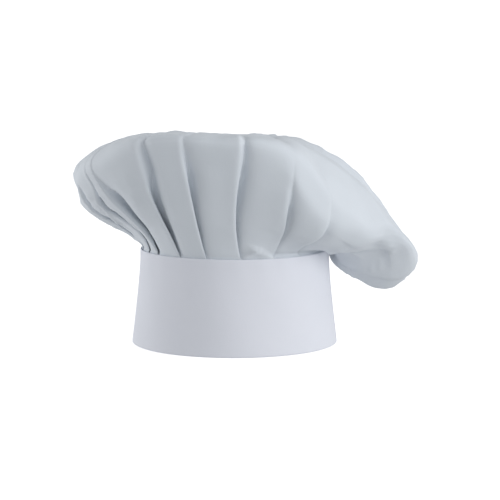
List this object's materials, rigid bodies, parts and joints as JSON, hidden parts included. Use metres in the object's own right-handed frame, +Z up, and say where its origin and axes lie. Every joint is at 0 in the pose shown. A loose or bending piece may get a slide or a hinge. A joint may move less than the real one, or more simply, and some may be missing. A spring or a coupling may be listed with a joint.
{
  "type": "chef toque",
  "caption": "Floppy pleated cloth chef hat on a stiff folded head band, with a hook-and-loop tab closure at the back.",
  "frame": {"origin": "centre of the head opening, in the plane of the band's rim that the hat stands on", "axes": "+Z up through the crown, -Y towards the front, +X towards the side that the crown flops over to"},
  "size_m": [0.3173, 0.2833, 0.2065],
  "materials": {
    "poplin_band": "matte plain-weave poplin",
    "poplin_crown": "matte plain-weave poplin",
    "interfacing": "matte nonwoven",
    "loop_tape": "brushed loop pile",
    "hook_tape": "woven nylon with moulded hooks",
    "thread": "twisted polyester sewing thread",
    "label": "blank satin ribbon"
  },
  "bodies": {
    "hat": {"crown": "poplin_crown", "band_cover": "poplin_band", "band_interfacing": "interfacing", "loop_tape": "loop_tape", "crown_seam_thread": "thread", "loop_tape_thread": "thread", "underlap_end_thread": "thread", "size_label": "label", "size_label_thread": "thread"},
    "closure_tab": {"closure_tab_cover": "poplin_band", "closure_tab_interfacing": "interfacing", "hook_tape": "hook_tape", "hook_tape_thread": "thread", "tab_end_thread": "thread"}
  },
  "joints": [
    {"name": "tab_peel", "type": "hinge", "parent": "hat", "child": "closure_tab", "pos_m": [-0.03418, 0.08461, 0.044], "axis": [0.036, -0.0891, 0.9954], "range_deg": [0, 110]}
  ]
}
